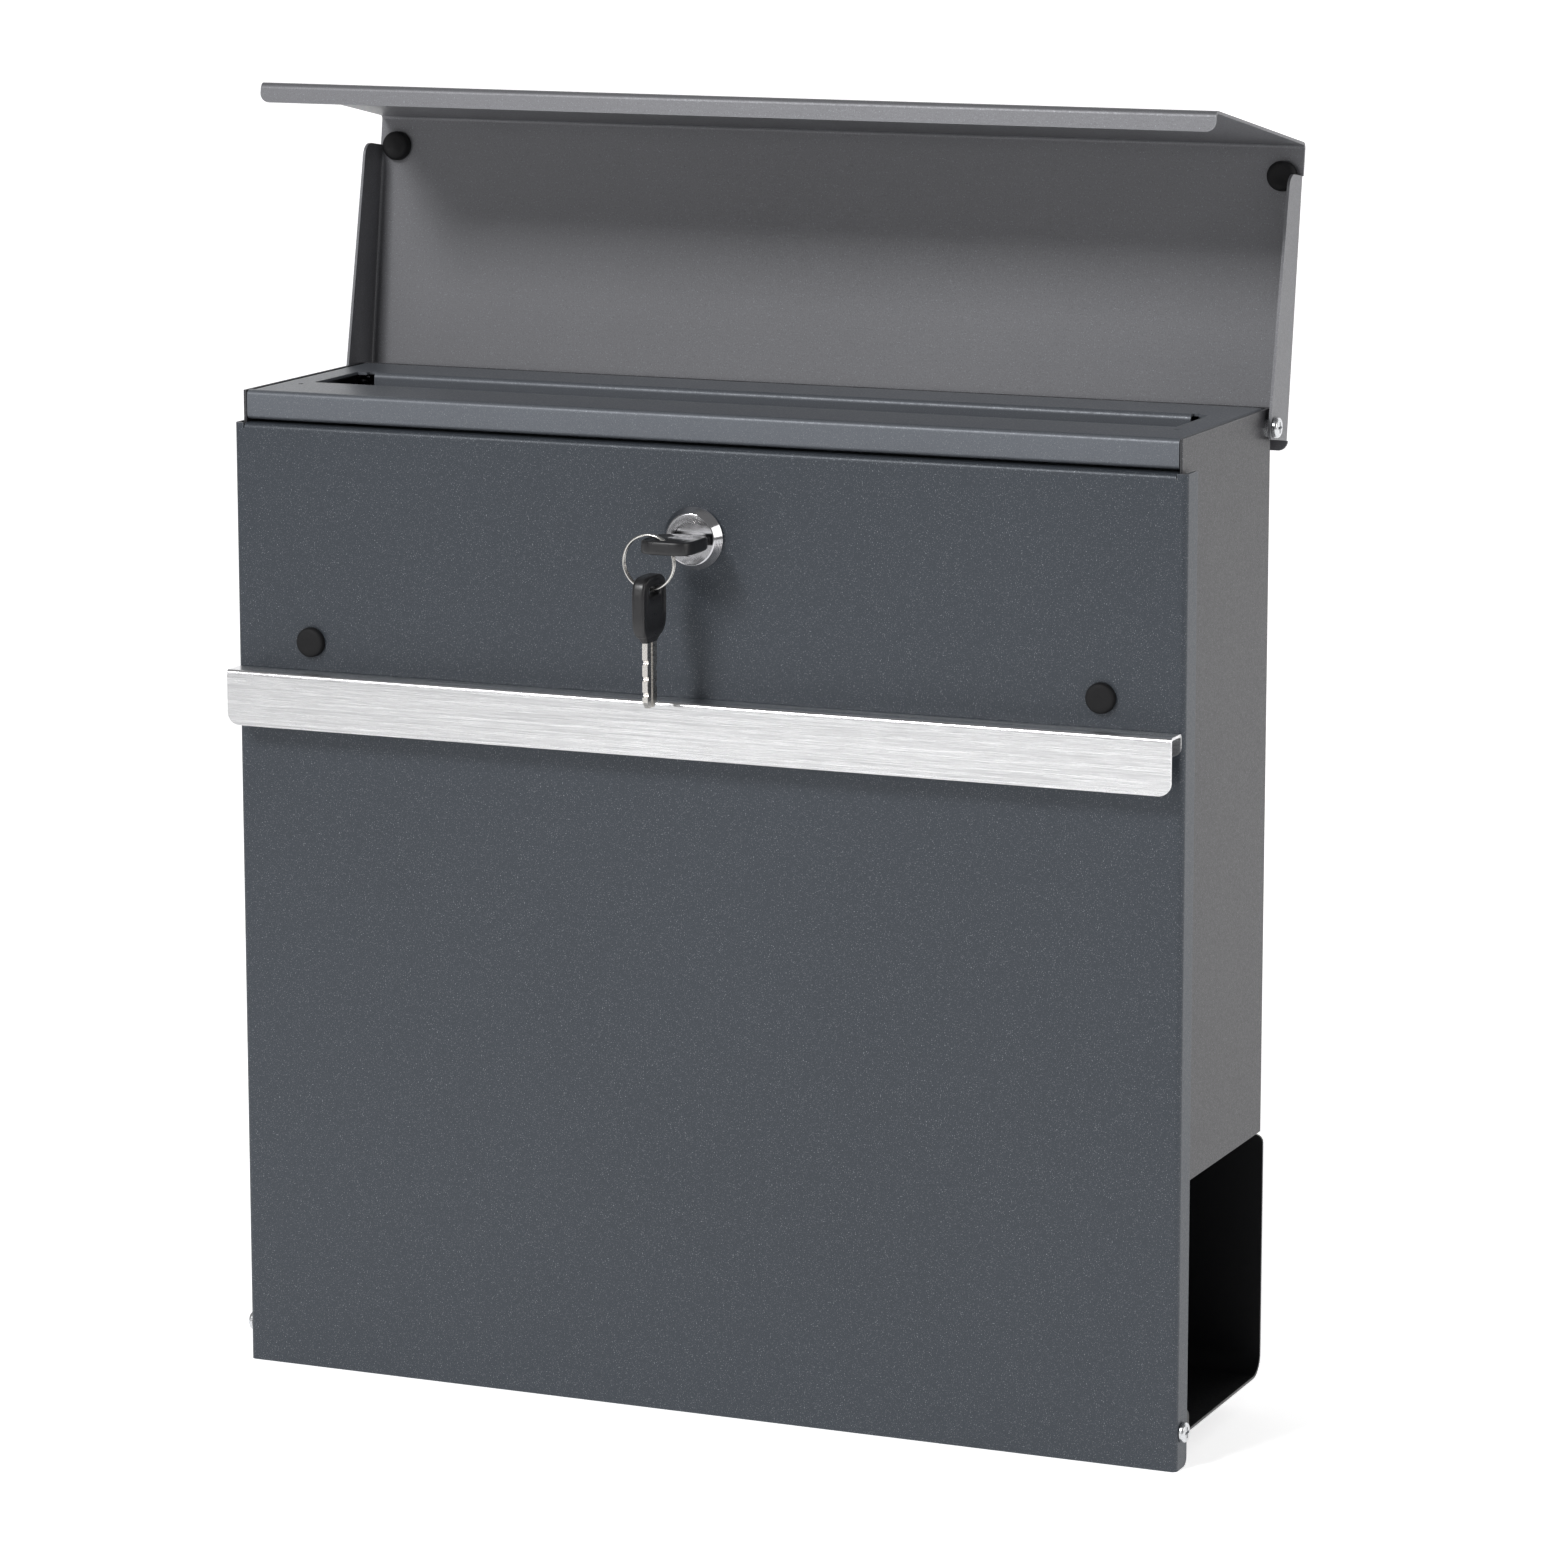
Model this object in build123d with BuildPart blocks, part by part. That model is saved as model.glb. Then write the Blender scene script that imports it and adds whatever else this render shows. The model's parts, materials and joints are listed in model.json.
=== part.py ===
"""Wall mailbox with a drop lid, a lockable front door and a newspaper compartment.

X runs along the width, Y from the door towards the wall, Z up.  The origin is the
centre of the four wall holes on the rear face of the back plate.  All sizes in mm.
"""
import os

from build123d import *

os.makedirs("parts", exist_ok=True)

# ---- overall ------------------------------------------------------------------------
width = 370.0  # over the door, and over the lid
height = 367.8  # door's bottom edge to the top plate
depth = 98.0  # wall face to the door's front face
sheet = 1.0  # every folded part is made of this steel sheet
bend = 2.0  # outer radius of an ordinary fold
stub = 1.0  # flat left beside a fold where one outline takes over from another
free = 0.3  # least room between pieces that move past each other

# ---- levels -------------------------------------------------------------------------
letter_height = 102.0  # door's bottom edge to the underside of the letter compartment
bottom = -(letter_height + height) / 2  # the wall holes sit midway up the compartment
top = bottom + height
letter_z = bottom + letter_height
front = -depth
half_width = width / 2

# ---- body ---------------------------------------------------------------------------
side_gap = 1.7  # body side to the flanges of the door and the lid
door_gap = 1.7  # door sheet to the body's front edges
body_half = half_width - sheet - side_gap
body_inner = body_half - sheet
body_front = front + sheet + door_gap
return_width = 9.0  # front edges of the sides, folded inwards
return_gap = 1.5  # their tops to the door's top fold, which passes over them
strip_height = 10.8  # front strip of the top plate, above the door
door_top_gap = 1.0  # door's top fold to that strip
door_top = top - strip_height - door_top_gap
return_top = door_top - sheet - return_gap
neck_inset = 6.0  # the back plate narrows between its two fold reliefs
neck_height = 1.6
neck_z = letter_z - neck_height
lower_corner = 3.0  # rounded top corners of the lower back plate
floor_radius = 8.0  # the back plate curves forward into the floor
top_seam = 0.4  # top plate to the body's sides

# ---- wall holes ---------------------------------------------------------------------
wall_hole = 7.0
wall_inset_x = 32.3  # from the body's sides
wall_inset_z = 27.9  # from the top and from the letter compartment's underside
wall_spacing_x = 2 * (body_half - wall_inset_x)
wall_spacing_z = top - letter_z - 2 * wall_inset_z

# ---- flanges inside the body --------------------------------------------------------
tray_flange = 12.0
plate_flange = 10.0  # shorter than the front strip, so the door's fold passes under it
rear_flange_inset = 3.0

# ---- mail slot ----------------------------------------------------------------------
slot_inset = 13.3  # from the body's sides
slot_rear = -30.0
slot_depth = 34.9
slot_half = body_half - slot_inset
guide_height = 10.0  # flap folded down along the slot's rear edge
guide_half = slot_half - 7.0
guide_corner = 6.0
guide_setback = bend + stub  # the guide's fold starts this far behind the slot
relief_width = 3.2  # beside the guide, so that it can be folded
relief_radius = 1.6
drain_hole = 2.0  # small holes beside the slot's front corners
drain_x = slot_half + 2.4
drain_y = slot_rear - slot_depth - 6.1

# ---- hinge screws -------------------------------------------------------------------
screw = 3.5
screw_hole = 3.7  # the door's and the lid's flanges turn on the screws
screw_head = 7.4
screw_head_height = 1.8
screw_head_round = 1.0
recess_width = 0.9
recess_length = 4.0
recess_depth = 1.0
nut_flats = 6.0
nut_height = 2.8
washer = 7.0
screw_past_nut = 2.0

# ---- door hinge ---------------------------------------------------------------------
door_axis_y = front + 5.5
door_axis_z = bottom + 13.5
floor_gap = 0.8  # floor to the door when it hangs open
floor_z = door_axis_z + front + sheet - door_axis_y + floor_gap
ear_gap = 1.0  # hinge ear to the door's side flange
floor_half = half_width - sheet - ear_gap
upstand_height = 12.0
ear_reach = 3.6  # ear's edge in front of and below the hinge axis
ear_above = 5.0  # ear's top above the hinge axis
ear_inset = 7.0  # floor and upstand stop short of the ear by this, round the nut
ear_fold_from = 4.5  # behind the axis the ear is folded up from the floor
ear_fold_length = 9.0

# ---- door ---------------------------------------------------------------------------
door_flange = 11.0  # depth of the door's folded edges
door_flange_corner = 3.0
door_top_corner = 1.5
door_relief = 0.4  # slit between the door's top fold and its corners
door_fold_inset = 0.5  # the top fold passes between the body's sides

# ---- lock ---------------------------------------------------------------------------
lock_z = door_top - 32.4
collar = 22.8
collar_face = 18.6
collar_proud = 4.6
collar_rim = 1.4
collar_round = 0.6
barrel = 18.0
barrel_length = 22.0  # behind the collar's seat
barrel_room = 0.4
lock_nut_flats = 24.0
lock_nut_height = 4.0
plug = 12.4
plug_bore = 12.5
plug_recess = 0.6
plug_past_barrel = 0.4
plug_face = front - collar_proud + plug_recess
plug_end = front + barrel_length + plug_past_barrel
tang = 7.0
tang_hole = 7.1
cam_length = 40.0  # lock axis to the cam's tip
cam_width = 12.0
cam_corner = 2.0
cam_hub = 7.5
cam_sheet = 2.0
cam_end = plug_end + cam_sheet
cam_washer = 10.0
cam_washer_height = 1.0
cam_screw = 4.0
cam_screw_head = 8.0
cam_screw_head_height = 2.4
cam_screw_round = 1.0
cam_screw_grip = 3.4  # from the cam into the plug
catch_gap = 0.5  # cam to the catch when locked
catch_height = 7.0

# ---- keys and ring ------------------------------------------------------------------
key_width = 20.0
key_length = 22.6
key_thick = 5.0
key_corner = 5.0
key_round = 1.4
key_slot = 9.5
key_slot_height = 3.5
key_slot_round = 0.8
key_slot_middle = key_length - 4.0 - key_slot_height / 2  # from the head's shoulder
blade_width = 8.0
blade_thick = 2.0
blade_length = 25.0
blade_rooted = 8.0  # inside the moulded head
blade_point = 2.2
blade_notch = 0.9
blade_notch_first = 5.0  # from the tip
blade_groove = 1.6
blade_groove_depth = 0.5
key_room = 0.2  # blade to the keyway, all round
keyway_past_blade = 0.3
shoulder_gap = 2.5  # inserted key's head to the plug's face
wafer_count = 5
wafer_pitch = 2.9
wafer_first = 4.6  # behind the plug's face
wafer_thick = 0.8
wafer_width = 10.0
wafer_height = 6.0
wafer_room = 0.1
ring_wire = 1.05
ring_radius = 9.7  # to the middle of the wire
ring_drop = 5.9  # ring's centre below the key's middle
spare_drop = 0.5  # spare key's slot below the wire it hangs on

# ---- lid ----------------------------------------------------------------------------
lid_axis_y = -(bend + nut_flats / 2)  # the nut stays clear of the back's fold
lid_axis_z = top - 6.5
lid_lean = 8.1  # the open panel leans back, in degrees
lid_offset = 16.5  # hinge axis to the panel's outer face
lid_reach = depth + lid_axis_y + 9.4  # hinge axis to the front fold
lid_tail = 8.1  # panel beyond the hinge axis
lid_tail_corner = 3.6
lid_bend = 2.4
flap_length = 100.0
flap_splay = 2.5  # the flap opens wider than a right angle, in degrees
lip_depth = 7.5
lip_corner = 3.5
lid_flange_front = 4.6  # flange in front of the hinge axis
lid_flange_below = 4.4
lid_flange_taper = 3.7  # in degrees
lid_flange_top = lid_reach - 12.0
lid_flange_round = 5.0
lid_flange_toe = 2.5
lid_shut = 100.8  # turn from open to shut, in degrees

# ---- rubber bumpers -----------------------------------------------------------------
bumper = 11.0
bumper_round = 1.0
door_bumper_height = 2.8
lid_bumper_height = 4.0
door_bumper_x = half_width - 30.7
lid_bumper_x = half_width - bend - bumper / 2
lid_bumper_back = 12.3  # from the panel's front fold
bumper_above_lip = 3.3  # door bumper's centre above the shut lid's lip

# ---- handle strip -------------------------------------------------------------------
strip_half = half_width - 1.0
strip_reach = 11.0
strip_leg = 20.5
strip_seat = 8.3
strip_bend = 1.6
strip_leg_corner = 4.5
strip_seat_corner = 3.5
strip_below_bumper = 10.5
rivet = 3.2
rivet_head = 6.0
rivet_head_height = 1.0
rivet_round = 0.8
rivet_count = 5
rivet_end_inset = 24.0

lid_plane = Plane(
    origin=(0, lid_axis_y, lid_axis_z),
    x_dir=Vector(0, 1, 0).rotate(Axis.X, -lid_lean),
    z_dir=(1, 0, 0),
)  # its own x runs out through the panel, its own y up along the panel
flap_tip = Vector(lid_offset, lid_reach) + Vector(-flap_length, 0).rotate(Axis.Z, -flap_splay)
lip_tip = flap_tip + Vector(0, -lip_depth).rotate(Axis.Z, -flap_splay)

# the shut lid's lip says where the door bumpers and the strip under them belong
lip_shut = (lid_plane.from_local_coords(flap_tip) - lid_plane.origin).rotate(Axis.X, lid_shut)
bumper_z = lid_axis_z + lip_shut.Z + bumper_above_lip
strip_top = bumper_z - strip_below_bumper
rivet_z = strip_top - (strip_seat + strip_bend) / 2
rivet_pitch = 2 * (strip_half - rivet_end_inset) / (rivet_count - 1)


def folded(plane, points, side, radius=bend):
    """Section of a folded sheet: a line along its outer face, thickened to one side."""
    with BuildSketch(plane) as section:
        with BuildLine():
            FilletPolyline(*points, radius=radius)
            offset(amount=sheet, side=side)
        make_face()
    return section.sketch


def facing(y):
    """Plane at a depth y with its normal towards the front, its own x and y along X and Z."""
    return Plane.XZ.offset(-y)


def save(piece, name):
    """Label a finished piece and write it under its own name."""
    piece.label = name
    export_step(piece, f"parts/{name}.step")


# ---- hinge ear of the shell, on the right: folded up from the floor behind the nut --
fold_y = door_axis_y + ear_fold_from
ear_top = door_axis_z + ear_above
ear_line = [
    (floor_half - ear_inset, floor_z),
    (floor_half, floor_z),
    (floor_half, ear_top),
]
with BuildPart() as ear:
    extrude(folded(facing(fold_y), ear_line, Side.LEFT), amount=-ear_fold_length)
    with BuildSketch(Plane.YZ.offset(floor_half - sheet)):
        with BuildLine():
            FilletPolyline(
                (fold_y, ear_top),
                (door_axis_y - ear_reach, ear_top),
                (door_axis_y - ear_reach, door_axis_z - ear_reach),
                (fold_y, door_axis_z - ear_reach),
                radius=ear_reach,
            )
            Line((fold_y, door_axis_z - ear_reach), (fold_y, ear_top))
        make_face()
    extrude(amount=sheet)
    rear_edges = ear.faces().sort_by(Axis.Y)[-1].edges().filter_by(Axis.X)
    fillet(rear_edges.sort_by(Axis.Z)[-1], ear_reach)

# ---- shell: back, sides, lower back and floor, folded from one sheet ----------------
side_line = [
    (body_half - return_width, body_front),
    (body_half, body_front),
    (body_half, 0),
    (-body_half, 0),
    (-body_half, body_front),
    (-body_half + return_width, body_front),
]
floor_line = [
    (0, neck_z),
    (0, floor_z),
    (body_front, floor_z),
    (body_front, floor_z + upstand_height),
]
with BuildPart() as shell:
    extrude(folded(Plane.XY.offset(letter_z), side_line, Side.LEFT), amount=return_top - letter_z)
    extrude(folded(Plane.XY.offset(return_top), side_line[1:5], Side.LEFT), amount=top - return_top)
    extrude(
        folded(Plane.YZ, floor_line, Side.RIGHT, [floor_radius, bend]),
        amount=floor_half,
        both=True,
    )
    with BuildSketch(Plane.XY.offset(neck_z)):
        with Locations((0, -sheet / 2)):
            Rectangle(2 * (body_half - neck_inset), sheet)
    extrude(amount=neck_height)
    with BuildSketch(Plane.XY.offset(floor_z)):
        with Locations((floor_half, body_front), (-floor_half, body_front)):
            Rectangle(2 * ear_inset, 2 * (fold_y - body_front))
    extrude(amount=upstand_height, mode=Mode.SUBTRACT)
    add(ear.part)
    add(mirror(ear.part, about=Plane.YZ, mode=Mode.PRIVATE))
    for x in (floor_half, -floor_half):
        corner = shell.edges().filter_by(Axis.Y).sort_by_distance((x, -sheet / 2, neck_z))
        fillet(corner[0], lower_corner)
    with BuildSketch(Plane.YZ):
        with Locations((lid_axis_y, lid_axis_z), (door_axis_y, door_axis_z)):
            Circle(screw_hole / 2)
    extrude(amount=half_width, both=True, mode=Mode.SUBTRACT)
    with BuildSketch(facing(0)):
        with GridLocations(wall_spacing_x, wall_spacing_z, 2, 2):
            Circle(wall_hole / 2)
    extrude(amount=sheet, mode=Mode.SUBTRACT)
save(shell.part, "shell")

# ---- top plate: lies between the sides, with the mail slot and the lock's catch -----
plate_half = body_inner - top_seam
plate_rear = -sheet - bend - stub
plate_front = body_front + bend + stub
strip_z = top - strip_height
catch_y = plug_end - catch_gap
plate_line = [
    (-plate_half, top - plate_flange),
    (-plate_half, top),
    (plate_half, top),
    (plate_half, top - plate_flange),
]
strip_line = [
    (plate_front, top),
    (body_front, top),
    (body_front, strip_z),
    (catch_y, strip_z),
    (catch_y, strip_z + catch_height),
]
rear_line = [(-sheet, top - plate_flange), (-sheet, top), (plate_rear, top)]
guide_line = [
    (slot_rear + guide_setback, top),
    (slot_rear, top),
    (slot_rear, top - guide_height),
]
with BuildPart() as top_plate:
    extrude(folded(facing(plate_rear), plate_line, Side.RIGHT), amount=plate_rear - plate_front)
    # the side flanges leave room for the lid hinge's nuts
    with BuildSketch(Plane.YZ):
        with Locations((lid_axis_y, lid_axis_z)):
            Rectangle(2 * (nut_flats + free), 2 * (top - bend - lid_axis_z))
    extrude(amount=plate_half, both=True, mode=Mode.SUBTRACT)
    extrude(folded(Plane.YZ, strip_line, Side.LEFT), amount=plate_half, both=True)
    extrude(
        folded(Plane.YZ, rear_line, Side.LEFT),
        amount=plate_half - rear_flange_inset,
        both=True,
    )
    with BuildSketch(Plane.XY.offset(top)):
        with Locations((0, slot_rear)):
            RectangleRounded(2 * (guide_half + relief_width), 2 * guide_setback, relief_radius)
        with Locations((0, slot_rear - slot_depth / 2)):
            Rectangle(2 * slot_half, slot_depth)
        with GridLocations(2 * drain_x, 0, 2, 1):
            with Locations((0, drain_y)):
                Circle(drain_hole / 2)
    extrude(amount=-sheet, mode=Mode.SUBTRACT)
    extrude(folded(Plane.YZ, guide_line, Side.LEFT), amount=guide_half, both=True)
    for x in (guide_half, -guide_half):
        corner = top_plate.edges().filter_by(Axis.Y)
        corner = corner.sort_by_distance((x, slot_rear + sheet / 2, top - guide_height))
        fillet(corner[0], guide_corner)
save(top_plate.part, "top_plate")

# ---- letter floor: tray welded between the sides, over the newspaper compartment ----
tray_front = body_front + sheet + free
tray_half = body_inner - bend
tray_line = [
    (-body_inner, letter_z + tray_flange),
    (-body_inner, letter_z),
    (body_inner, letter_z),
    (body_inner, letter_z + tray_flange),
]
tray_rear_line = [
    (-sheet, letter_z + tray_flange),
    (-sheet, letter_z),
    (plate_rear, letter_z),
]
tray_front_line = [
    (tray_front + bend + stub, letter_z),
    (tray_front, letter_z),
    (tray_front, letter_z + tray_flange),
]
with BuildPart() as letter_floor:
    extrude(
        folded(facing(plate_rear), tray_line, Side.LEFT),
        amount=plate_rear - tray_front - bend - stub,
    )
    extrude(folded(Plane.YZ, tray_rear_line, Side.RIGHT), amount=tray_half, both=True)
    extrude(folded(Plane.YZ, tray_front_line, Side.RIGHT), amount=tray_half, both=True)
save(letter_floor.part, "letter_floor")


def hinge_screws(name, y, z, inner_face):
    """Two pan-head screws along X, heads outwards, each through a flange and the body."""
    head_x = half_width + free
    with BuildPart() as screws:
        with BuildSketch(Plane.YZ.offset(head_x)):
            with Locations((y, z)):
                Circle(screw_head / 2)
        extrude(amount=screw_head_height)
        fillet(screws.faces().sort_by(Axis.X)[-1].edges(), screw_head_round)
        with BuildSketch(Plane.YZ.offset(head_x + screw_head_height)):
            with Locations((y, z)):
                Rectangle(recess_width, recess_length)
                Rectangle(recess_length, recess_width)
        extrude(amount=-recess_depth, mode=Mode.SUBTRACT)
        with BuildSketch(Plane.YZ.offset(inner_face - nut_height - screw_past_nut)):
            with Locations((y, z)):
                Circle(screw / 2)
        extrude(until=Until.NEXT)
        mirror(about=Plane.YZ)
    save(screws.part, name)


def hinge_washers(name, y, z, outer_face, gap):
    """Two washers between the body and the flange that turns outside it."""
    with BuildPart() as washers:
        with BuildSketch(Plane.YZ.offset(outer_face)):
            with Locations((y, z)):
                Circle(washer / 2)
                Circle(screw_hole / 2, mode=Mode.SUBTRACT)
        extrude(amount=gap - free)
        mirror(about=Plane.YZ)
    save(washers.part, name)


def hinge_nuts(name, y, z, inner_face):
    """Two hexagon nuts on the screws, against the inside of the body."""
    with BuildPart() as nuts:
        with BuildSketch(Plane.YZ.offset(inner_face - nut_height)):
            with Locations((y, z)):
                RegularPolygon(nut_flats / 2, 6, major_radius=False, rotation=30)
                Circle(screw / 2, mode=Mode.SUBTRACT)
        extrude(amount=nut_height)
        mirror(about=Plane.YZ)
    save(nuts.part, name)


# ---- hinge hardware -----------------------------------------------------------------
hinge_screws("lid_hinge_screws", lid_axis_y, lid_axis_z, body_inner)
hinge_washers("lid_hinge_washers", lid_axis_y, lid_axis_z, body_half, side_gap)
hinge_nuts("lid_hinge_nuts", lid_axis_y, lid_axis_z, body_inner)
hinge_screws("door_hinge_screws", door_axis_y, door_axis_z, floor_half - sheet)
hinge_washers("door_hinge_washers", door_axis_y, door_axis_z, floor_half, ear_gap)
hinge_nuts("door_hinge_nuts", door_axis_y, door_axis_z, floor_half - sheet)

# ---- door: shallow pan, folded at both sides and at the top -------------------------
fold_half = body_inner - door_fold_inset
door_line = [
    (-half_width, front + door_flange),
    (-half_width, front),
    (half_width, front),
    (half_width, front + door_flange),
]
door_fold_line = [
    (front, door_top - bend - stub),
    (front, door_top),
    (front + door_flange, door_top),
]
with BuildPart() as door:
    extrude(folded(Plane.XY.offset(bottom), door_line, Side.LEFT), amount=door_top - bottom)
    for x in (half_width, -half_width):
        edge = door.faces().filter_by(Axis.Y).sort_by_distance((x, front + door_flange, 0))[0]
        fillet(edge.edges().filter_by(Axis.X).sort_by(Axis.Z)[0], door_flange_corner)
        edge = door.faces().filter_by(Axis.Y).sort_by_distance((x, front + door_flange, 0))[0]
        fillet(edge.edges().filter_by(Axis.X).sort_by(Axis.Z)[-1], door_top_corner)
    with BuildSketch(Plane.XY.offset(door_top)):
        with Locations((0, front)):
            Rectangle(2 * (fold_half + door_relief), 2 * bend)
    extrude(amount=-bend, mode=Mode.SUBTRACT)
    extrude(folded(Plane.YZ, door_fold_line, Side.RIGHT), amount=fold_half, both=True)
    with BuildSketch(facing(front)):
        with Locations((0, lock_z)):
            Circle((barrel + barrel_room) / 2)
        with Locations((0, rivet_z)):
            with GridLocations(rivet_pitch, 0, rivet_count, 1):
                Circle(rivet / 2)
    extrude(amount=-sheet, mode=Mode.SUBTRACT)
    with BuildSketch(Plane.YZ):
        with Locations((door_axis_y, door_axis_z)):
            Circle(screw_hole / 2)
    extrude(amount=half_width, both=True, mode=Mode.SUBTRACT)
save(door.part, "door")

# ---- handle strip: folded channel across the door, open below as a finger pull ------
strip_channel = [
    (front - strip_reach, strip_top - strip_leg),
    (front - strip_reach, strip_top),
    (front, strip_top),
    (front, strip_top - strip_seat),
]
with BuildPart() as handle_strip:
    extrude(
        folded(Plane.YZ, strip_channel, Side.RIGHT, strip_bend),
        amount=strip_half,
        both=True,
    )
    for x in (strip_half, -strip_half):
        for y, drop, radius in (
            (front - strip_reach + sheet / 2, strip_leg, strip_leg_corner),
            (front - sheet / 2, strip_seat, strip_seat_corner),
        ):
            corner = handle_strip.edges().filter_by(Axis.Y)
            corner = corner.sort_by_distance((x, y, strip_top - drop))
            fillet(corner[0], radius)
    with BuildSketch(facing(front)):
        with Locations((0, rivet_z)):
            with GridLocations(rivet_pitch, 0, rivet_count, 1):
                Circle(rivet / 2)
    extrude(amount=sheet, mode=Mode.SUBTRACT)
save(handle_strip.part, "handle_strip")

# ---- rivets: through the strip's seat and the door sheet ----------------------------
with BuildPart() as strip_rivets:
    with BuildSketch(facing(front + 2 * sheet)):
        with Locations((0, rivet_z)):
            with GridLocations(rivet_pitch, 0, rivet_count, 1):
                Circle(rivet_head / 2)
    extrude(amount=sheet)
    with BuildSketch(facing(front + sheet)):
        with Locations((0, rivet_z)):
            with GridLocations(rivet_pitch, 0, rivet_count, 1):
                Circle(rivet / 2)
    extrude(amount=2 * sheet)
    with BuildSketch(facing(front - sheet)):
        with Locations((0, rivet_z)):
            with GridLocations(rivet_pitch, 0, rivet_count, 1):
                Circle(rivet_head / 2)
    extrude(amount=rivet_head_height)
    domes = strip_rivets.faces().filter_by(Axis.Y).group_by(Axis.Y)[0]
    fillet(domes.edges(), rivet_round)
save(strip_rivets.part, "strip_rivets")

# ---- door bumpers: rubber pads that the shut lid's lip rests on ---------------------
with BuildPart() as door_bumpers:
    with BuildSketch(facing(front)):
        with Locations((0, bumper_z)):
            with GridLocations(2 * door_bumper_x, 0, 2, 1):
                Circle(bumper / 2)
    extrude(amount=door_bumper_height)
    fillet(door_bumpers.faces().filter_by(Axis.Y).group_by(Axis.Y)[0].edges(), bumper_round)
save(door_bumpers.part, "door_bumpers")

# ---- lock housing: collar in front of the door, barrel through it -------------------
lock_axis = Axis((0, 0, lock_z), (0, 1, 0))
with BuildPart() as lock_housing:
    with BuildSketch(Plane.YZ.offset(0)):
        with Locations((0, lock_z)):
            Polygon(
                (front - collar_proud, plug_bore / 2),
                (front - collar_proud, collar_face / 2),
                (front - collar_rim, collar / 2),
                (front, collar / 2),
                (front, barrel / 2),
                (front + barrel_length, barrel / 2),
                (front + barrel_length, plug_bore / 2),
                align=None,
            )
    revolve(axis=lock_axis)
    rims = lock_housing.edges().filter_by(GeomType.CIRCLE).group_by(Axis.Y)[0]
    fillet(rims.sort_by(SortBy.RADIUS)[-1], collar_round)
save(lock_housing.part, "lock_housing")

with BuildPart() as lock_nut:
    with BuildSketch(facing(front + sheet + lock_nut_height)):
        with Locations((0, lock_z)):
            RegularPolygon(lock_nut_flats / 2, 6, major_radius=False)
            Circle(barrel / 2, mode=Mode.SUBTRACT)
    extrude(amount=lock_nut_height)
save(lock_nut.part, "lock_nut")

# ---- lock plug: turns in the barrel, slit for the key and for its wafers ------------
keyway_width = blade_width + 2 * key_room
keyway_height = blade_thick + 2 * key_room
keyway_depth = blade_length - shoulder_gap + keyway_past_blade
wafer_ys = [plug_face + wafer_first + i * wafer_pitch for i in range(wafer_count)]
with BuildPart() as lock_plug:
    with BuildSketch(facing(plug_end)):
        with Locations((0, lock_z)):
            Circle(plug / 2)
    extrude(amount=plug_end - plug_face)
    with BuildSketch(facing(plug_end)):
        with Locations((0, lock_z)):
            Rectangle(tang, tang)
    extrude(amount=-cam_sheet)
    with BuildSketch(facing(plug_face)):
        with Locations((0, lock_z)):
            Rectangle(keyway_width, keyway_height)
    extrude(amount=-keyway_depth, mode=Mode.SUBTRACT)
    for y in wafer_ys:
        with BuildSketch(facing(y - wafer_room)):
            with Locations((0, lock_z)):
                Rectangle(wafer_width + 2 * wafer_room, wafer_height + 2 * wafer_room)
        extrude(amount=-wafer_thick - 2 * wafer_room, mode=Mode.SUBTRACT)
    with BuildSketch(facing(cam_end)):
        with Locations((0, lock_z)):
            Circle(cam_screw / 2)
    extrude(amount=cam_screw_grip, mode=Mode.SUBTRACT)
save(lock_plug.part, "lock_plug")

with BuildPart() as lock_wafers:
    for y in wafer_ys:
        with BuildSketch(facing(y)):
            with Locations((0, lock_z)):
                Rectangle(wafer_width, wafer_height)
                Rectangle(keyway_width, keyway_height, mode=Mode.SUBTRACT)
        extrude(amount=-wafer_thick)
save(lock_wafers.part, "lock_wafers")

# ---- cam: turns behind the top plate's catch; unlocked it lies along +X -------------
with BuildPart() as cam:
    with BuildSketch(facing(cam_end)):
        with Locations((cam_length / 2, lock_z)):
            RectangleRounded(cam_length, cam_width, cam_corner)
        with Locations((0, lock_z)):
            Circle(cam_hub)
            Rectangle(tang_hole, tang_hole, mode=Mode.SUBTRACT)
    extrude(amount=cam_sheet)
save(cam.part, "cam")

with BuildPart() as cam_washer_piece:
    with BuildSketch(facing(cam_end + cam_washer_height)):
        with Locations((0, lock_z)):
            Circle(cam_washer / 2)
            Circle(cam_screw / 2, mode=Mode.SUBTRACT)
    extrude(amount=cam_washer_height)
save(cam_washer_piece.part, "cam_washer")

with BuildPart() as cam_screw_piece:
    with BuildSketch(facing(cam_end + cam_washer_height)):
        with Locations((0, lock_z)):
            Circle(cam_screw_head / 2)
    extrude(amount=-cam_screw_head_height)
    fillet(cam_screw_piece.faces().sort_by(Axis.Y)[-1].edges(), cam_screw_round)
    with BuildSketch(facing(cam_end + cam_washer_height)):
        with Locations((0, lock_z)):
            Circle(cam_screw / 2)
    extrude(amount=cam_washer_height + cam_screw_grip)
    with BuildSketch(facing(cam_end + cam_washer_height + cam_screw_head_height)):
        with Locations((0, lock_z)):
            Rectangle(recess_width, recess_length)
            Rectangle(recess_length, recess_width)
    extrude(amount=recess_depth, mode=Mode.SUBTRACT)
save(cam_screw_piece.part, "cam_screw")


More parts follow.
